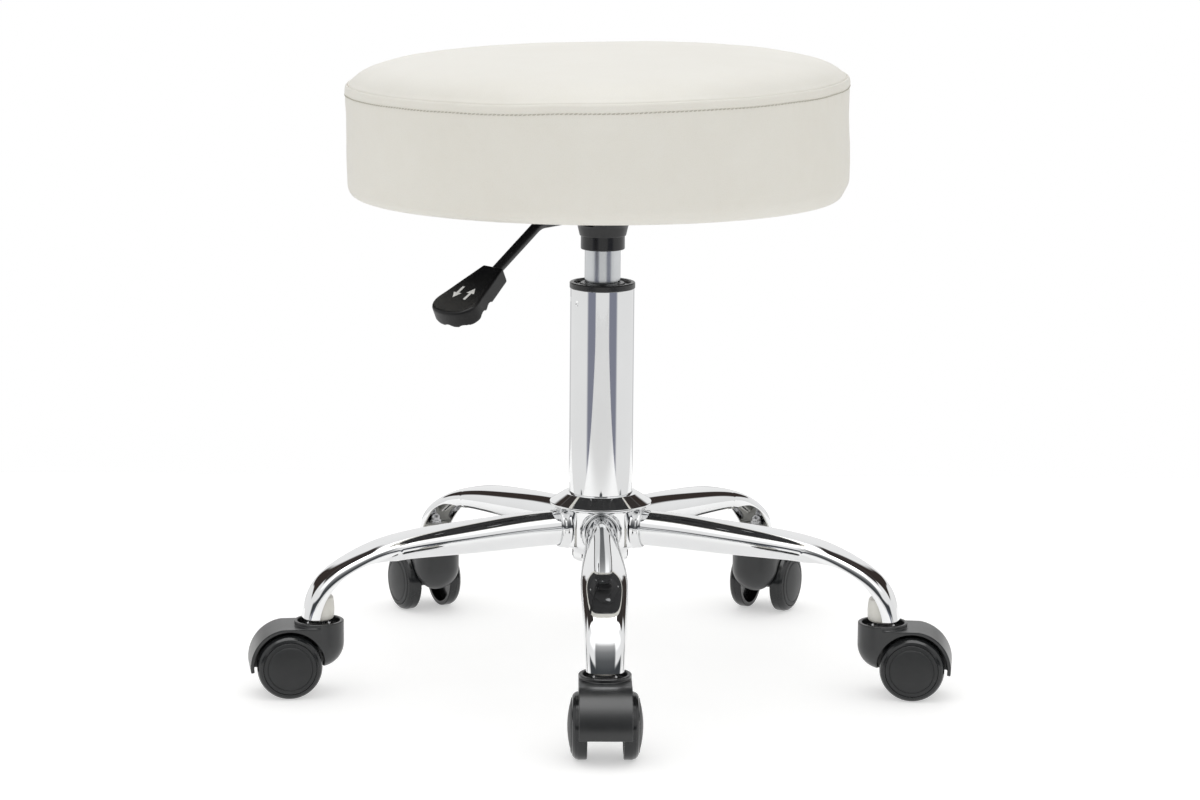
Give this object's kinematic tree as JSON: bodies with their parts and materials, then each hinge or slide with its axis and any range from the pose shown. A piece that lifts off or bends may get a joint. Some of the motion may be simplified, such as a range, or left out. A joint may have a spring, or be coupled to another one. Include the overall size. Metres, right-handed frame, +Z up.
{
  "type": "office stool",
  "caption": "Round padded swivel stool with a gas-lift column, a height lever and a chromed star base on swivelling casters.",
  "frame": {"origin": "on the floor under the column axis", "axes": "+Z up along the column, the front leg points along -Y"},
  "size_m": [0.5478, 0.5253, 0.4904],
  "materials": {
    "chrome": "polished",
    "bright_steel": "satin",
    "zinc_steel": "satin",
    "tube_silver": "satin",
    "aluminium": "satin",
    "black_paint": "satin",
    "black_nylon": "satin",
    "white_nylon": "satin",
    "paddle_black": "satin",
    "rubber": "matte",
    "cream_leather": "satin",
    "foam": "matte",
    "plywood": "matte",
    "dust_cloth": "matte",
    "caster_black": "satin",
    "wheel_black": "satin"
  },
  "bodies": {
    "base": {"base_hub": "chrome", "hub_collar": "chrome", "leg_front": "chrome", "leg_right": "chrome", "leg_rear_right": "chrome", "leg_rear_left": "chrome", "leg_left": "chrome", "stem_inserts": "white_nylon", "caster_stems": "bright_steel", "column_tube": "chrome", "guide_bush": "black_nylon", "column_bottom_plate": "bright_steel", "bearing_lower_washer": "bright_steel"},
    "swivel_rod": {"piston_rod": "bright_steel", "gas_piston": "aluminium", "thrust_bearing": "bright_steel", "bearing_upper_washer": "bright_steel", "rod_bumper": "rubber", "rod_clip": "bright_steel"},
    "seat": {"gas_cylinder": "tube_silver", "cylinder_gland": "aluminium", "taper_socket": "black_paint", "mount_plate": "black_paint", "lever_pivot_pin": "bright_steel", "plate_bolts": "zinc_steel", "t_nuts": "zinc_steel", "seat_board": "plywood", "foam_pad": "foam", "seat_cover": "cream_leather", "dust_cover": "dust_cloth", "staples": "zinc_steel"},
    "lever": {"lever_rod": "black_paint", "lever_paddle": "paddle_black"},
    "valve_pin": {"release_pin": "bright_steel"},
    "caster_front": {"caster_front_hood": "caster_black", "caster_front_axle": "bright_steel"},
    "caster_front_wheel_l": {"caster_front_wheel_l": "wheel_black"},
    "caster_front_wheel_r": {"caster_front_wheel_r": "wheel_black"},
    "caster_right": {"caster_right_hood": "caster_black", "caster_right_axle": "bright_steel"},
    "caster_right_wheel_l": {"caster_right_wheel_l": "wheel_black"},
    "caster_right_wheel_r": {"caster_right_wheel_r": "wheel_black"},
    "caster_rear_right": {"caster_rear_right_hood": "caster_black", "caster_rear_right_axle": "bright_steel"},
    "caster_rear_right_wheel_l": {"caster_rear_right_wheel_l": "wheel_black"},
    "caster_rear_right_wheel_r": {"caster_rear_right_wheel_r": "wheel_black"},
    "caster_rear_left": {"caster_rear_left_hood": "caster_black", "caster_rear_left_axle": "bright_steel"},
    "caster_rear_left_wheel_l": {"caster_rear_left_wheel_l": "wheel_black"},
    "caster_rear_left_wheel_r": {"caster_rear_left_wheel_r": "wheel_black"},
    "caster_left": {"caster_left_hood": "caster_black", "caster_left_axle": "bright_steel"},
    "caster_left_wheel_l": {"caster_left_wheel_l": "wheel_black"},
    "caster_left_wheel_r": {"caster_left_wheel_r": "wheel_black"}
  },
  "joints": [
    {"name": "seat_swivel", "type": "hinge", "parent": "base", "child": "swivel_rod", "pos_m": [0, 0, 0.1], "axis": [0, 0, 1], "continuous": true},
    {"name": "seat_lift", "type": "slide", "parent": "swivel_rod", "child": "seat", "axis": [0, 0, 1], "range_m": [0, 0.13]},
    {"name": "lever_tilt", "type": "hinge", "parent": "seat", "child": "lever", "pos_m": [-0.01763, -0.02427, 0.366], "axis": [-0.809, 0.5878, 0], "range_deg": [0, 6], "stiffness_Nm_per_rad": 4, "springref_deg": -2.86},
    {"name": "valve_press", "type": "slide", "parent": "seat", "child": "valve_pin", "axis": [0, 0, -1], "range_m": [0, 0.0032]},
    {"name": "caster_front_swivel", "type": "hinge", "parent": "base", "child": "caster_front", "pos_m": [0, -0.2295, 0.045], "axis": [0, 0, 1], "continuous": true},
    {"name": "caster_front_wheel_l_spin", "type": "hinge", "parent": "caster_front", "child": "caster_front_wheel_l", "pos_m": [0, -0.253, 0.025], "axis": [1, 0, 0], "continuous": true},
    {"name": "caster_front_wheel_r_spin", "type": "hinge", "parent": "caster_front", "child": "caster_front_wheel_r", "pos_m": [0, -0.253, 0.025], "axis": [1, 0, 0], "continuous": true},
    {"name": "caster_right_swivel", "type": "hinge", "parent": "base", "child": "caster_right", "pos_m": [0.21827, -0.07092, 0.045], "axis": [0, 0, 1], "continuous": true},
    {"name": "caster_right_wheel_l_spin", "type": "hinge", "parent": "caster_right", "child": "caster_right_wheel_l", "pos_m": [0.24157, -0.07399, 0.025], "axis": [0.1305, 0.9914, 0], "continuous": true},
    {"name": "caster_right_wheel_r_spin", "type": "hinge", "parent": "caster_right", "child": "caster_right_wheel_r", "pos_m": [0.24157, -0.07399, 0.025], "axis": [0.1305, 0.9914, 0], "continuous": true},
    {"name": "caster_rear_right_swivel", "type": "hinge", "parent": "base", "child": "caster_rear_right", "pos_m": [0.1349, 0.18567, 0.045], "axis": [0, 0, 1], "continuous": true},
    {"name": "caster_rear_right_wheel_l_spin", "type": "hinge", "parent": "caster_rear_right", "child": "caster_rear_right_wheel_l", "pos_m": [0.1452, 0.20679, 0.025], "axis": [-0.8988, 0.4384, 0], "continuous": true},
    {"name": "caster_rear_right_wheel_r_spin", "type": "hinge", "parent": "caster_rear_right", "child": "caster_rear_right_wheel_r", "pos_m": [0.1452, 0.20679, 0.025], "axis": [-0.8988, 0.4384, 0], "continuous": true},
    {"name": "caster_rear_left_swivel", "type": "hinge", "parent": "base", "child": "caster_rear_left", "pos_m": [-0.1349, 0.18567, 0.045], "axis": [0, 0, 1], "continuous": true},
    {"name": "caster_rear_left_wheel_l_spin", "type": "hinge", "parent": "caster_rear_left", "child": "caster_rear_left_wheel_l", "pos_m": [-0.1452, 0.20679, 0.025], "axis": [-0.8988, -0.4384, 0], "continuous": true},
    {"name": "caster_rear_left_wheel_r_spin", "type": "hinge", "parent": "caster_rear_left", "child": "caster_rear_left_wheel_r", "pos_m": [-0.1452, 0.20679, 0.025], "axis": [-0.8988, -0.4384, 0], "continuous": true},
    {"name": "caster_left_swivel", "type": "hinge", "parent": "base", "child": "caster_left", "pos_m": [-0.21827, -0.07092, 0.045], "axis": [0, 0, 1], "continuous": true},
    {"name": "caster_left_wheel_l_spin", "type": "hinge", "parent": "caster_left", "child": "caster_left_wheel_l", "pos_m": [-0.24157, -0.07399, 0.025], "axis": [0.1305, -0.9914, 0], "continuous": true},
    {"name": "caster_left_wheel_r_spin", "type": "hinge", "parent": "caster_left", "child": "caster_left_wheel_r", "pos_m": [-0.24157, -0.07399, 0.025], "axis": [0.1305, -0.9914, 0], "continuous": true}
  ],
  "couplings": [
    {"joint": "valve_press", "follows": "lever_tilt", "m_per_rad": 0.03}
  ]
}
